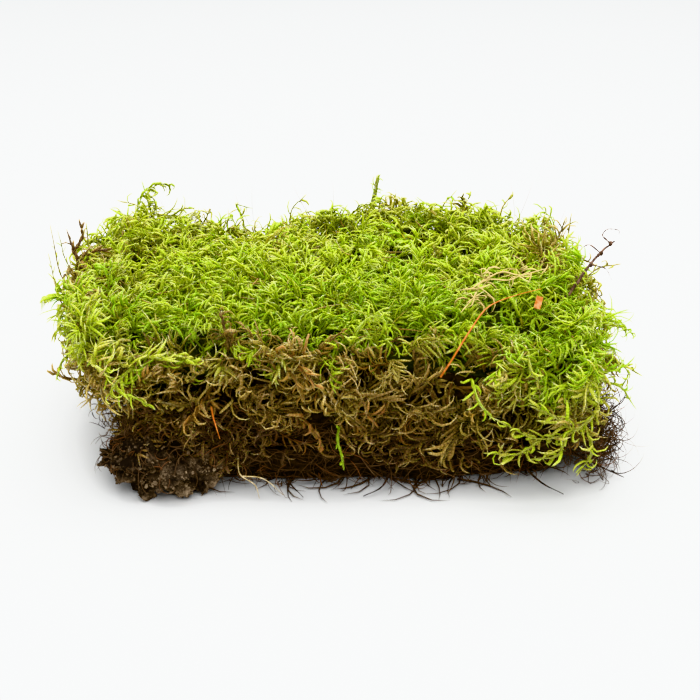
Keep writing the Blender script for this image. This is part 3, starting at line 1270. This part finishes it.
def scattered_crumbs(body, number, rng):
    """Small angular crumbs of all sizes on a lump, as one mesh."""
    crumb = added(bpy.ops.mesh.primitive_ico_sphere_add, subdivisions=1, radius=1)
    for vert in crumb.data.vertices:
        vert.co *= 1 + 0.9 * noise.noise(vert.co * 1.9)
    shape = shape_of(crumb)
    knots = [Vector(row) for row in shape.verts]
    points, tints, paleness = [], [], []
    verts = body.data.vertices
    for _ in range(number):
        vert = verts[rng.randrange(len(verts))]
        if noise.noise(vert.co / (5 * MM)) < -0.12:
            continue
        size = 0.18 + 0.5 * rng.random() ** 3
        stretch = Vector(rng.uniform(0.5, 1.6) for _ in range(3))
        tint = rng.random() if size < 0.4 else rng.random() * 0.9
        middle = vert.co / MM + vert.normal * size * 0.4
        middle.z = max(middle.z, size * max(stretch) + 0.1)
        turn = Quaternion(loose(rng, 1).normalized(), rng.uniform(0, math.tau))
        points.append([middle + turn @ (knot * stretch * size) for knot in knots])
        tints += [tint] * len(knots)
        paleness += [dustiness(middle, rng.uniform(-0.8, 1.2))] * len(knots)
    values = {"relief": np.array(paleness), "tint": np.array(tints)}
    return joined_copies("crumbs", np.array(points), shape.corners, values)


def build_clod():
    """The clod: lumps of soil covered with crumbs, flat where they stand on the ground."""
    body = soil_lump(CLOD_MIDDLE, CLOD_REACH, cuts=6, lumpy=CLOD_LUMP / CLOD_REACH.x)
    lobes = [
        soil_lump(Vector(spot), Vector((size, size, size)), cuts=4, lumpy=0.25) for spot, size in CLOD_LOBES
    ]
    rng = random.Random(SEED + 6)
    crumbs = [scattered_crumbs(body, CRUMBS, rng)]
    crumbs += [scattered_crumbs(lobe, CRUMBS // 15, rng) for lobe in lobes]
    made = joined("crumbly_clod", [body, *lobes, *crumbs])
    bpy.ops.object.shade_smooth_by_angle(angle=math.radians(30))
    finish_piece(made, soil_finish(), "soil", "soil_clod")


def clod_fibres():
    """Rootlets that hold the clod together and hang on it."""
    rng = random.Random(SEED + 9)
    strands = Strands()
    for _ in range(CLOD_FIBRES):
        way = loose(rng, 1).normalized()
        way.z = abs(way.z)
        foot = CLOD_MIDDLE + way * CLOD_REACH
        first = way * rng.uniform(0.2, 1.0) + loose(rng, 0.6)
        curve = bent(rng, first, loose(rng, 1) - UP * 0.5, 80, 320, 0.5)
        foot.z = max(foot.z, 2.0)
        strands.add(foot, curve, rng.uniform(5, 12), rng.uniform(0.22, 0.45), rng.random(), 1.0)
    return strands


def hairs():
    """Fine straight hairs that stand out of the moss at its back edge."""
    rng = random.Random(SEED + 7)
    strands = Strands()
    for foot, tip in HAIRS:
        foot, rise = Vector(foot), Vector(tip) - Vector(foot)
        strands.add(foot, arc(rise, loose(rng, 1), 12), rise.length, 0.24, rng.uniform(0.3, 0.7), 0.0)
    return strands


def build_moss():
    leafy = leafy_finish()
    roots = fibre_finish("root fibres", *FIBRE_COLOURS)
    straw = fibre_finish("dry straw", *STRAW_COLOURS)
    branchlet = strand_shape(BRANCHLET_RINGS, math.radians(60), FLATNESS)
    wisp, fibre, rootlet = strand_shape(WISP_RINGS), strand_shape(FIBRE_RINGS), strand_shape(ROOTLET_RINGS)
    crown, flanks, curls, dead, dead_curls = (Strands() for _ in range(5))
    crown_shoots(crown, curls)
    flank_shoots(flanks, curls)
    dead_shoots(dead, dead_curls)
    plant("moss_crown_back", branchlet, crown.half(True), leafy, *LIVING)
    plant("moss_crown_front", branchlet, crown.half(False), leafy, *LIVING)
    plant("moss_flanks", branchlet, flanks, leafy, *LIVING)
    plant("moss_curls", wisp, curls, leafy, *LIVING)
    plant("dead_shoots_back", branchlet, dead.half(True), leafy, *DEAD)
    plant("dead_shoots_front", branchlet, dead.half(False), leafy, *DEAD)
    plant("dead_curls", wisp, dead_curls, leafy, *DEAD)
    plant("root_fibres", fibre, side_fibres(), roots, *MAT)
    plant("wiry_roots", rootlet, wiry_roots(), roots, *MAT)
    plant("clod_rootlets", rootlet, clod_fibres(), roots, "roots", "soil_clod")
    plant("tall_shoots", branchlet, tall_shoots(), leafy, *LIVING)
    build_leafy_singles(branchlet, wisp, leafy, straw)
    plant("fine_hairs", fibre, hairs(), roots, "straw")


def look_at(thing, target):
    thing.rotation_euler = (target - thing.location).to_track_quat("-Z", "Y").to_euler()


def build_stage():
    """A pale table, soft light from above, and the camera."""
    floor = added(bpy.ops.mesh.primitive_plane_add, size=FLOOR_SIZE)
    floor.name = "pale_floor"
    paper = Finish("pale paper", roughness=0.9, gloss=0.1)
    paper.colour(FLOOR_COLOUR)
    floor.data.materials.append(paper.material)
    world = bpy.data.worlds.new("studio")
    bpy.context.scene.world = world
    world.use_nodes = True
    background = world.node_tree.nodes["Background"]
    background.inputs["Color"].default_value = (1, 1, 1, 1)
    background.inputs["Strength"].default_value = 1.0
    for spot, power in LIGHTS:
        softbox = added(bpy.ops.object.light_add, type="AREA", location=spot)
        softbox.data.shape = "RECTANGLE"
        softbox.data.size, softbox.data.size_y = LIGHT_SIZE
        softbox.data.energy = power
        look_at(softbox, LIGHT_TARGET)
    camera = added(bpy.ops.object.camera_add)
    lift = math.radians(CAMERA_ELEVATION)
    away = Vector((0, -math.cos(lift), math.sin(lift)))
    camera.location = CAMERA_TARGET * MM + away * CAMERA_DISTANCE * MM
    look_at(camera, CAMERA_TARGET * MM)
    camera.data.lens = CAMERA_LENS
    camera.data.sensor_width = SENSOR_WIDTH
    camera.data.clip_start = 0.01
    bpy.context.scene.camera = camera
    bpy.context.scene.view_settings.view_transform = "Khronos PBR Neutral"


LYING_SPOTS = [
    spot
    for points in (DARK_TWIG, ORANGE_STALK, *STRAW_STRANDS, BARK_FLAKE, BROWN_SHOOTS_RIGHT[0])
    for spot in smooth_line(points, 6)
]

build_cores()
build_stems()
build_clod()
build_moss()
build_stage()
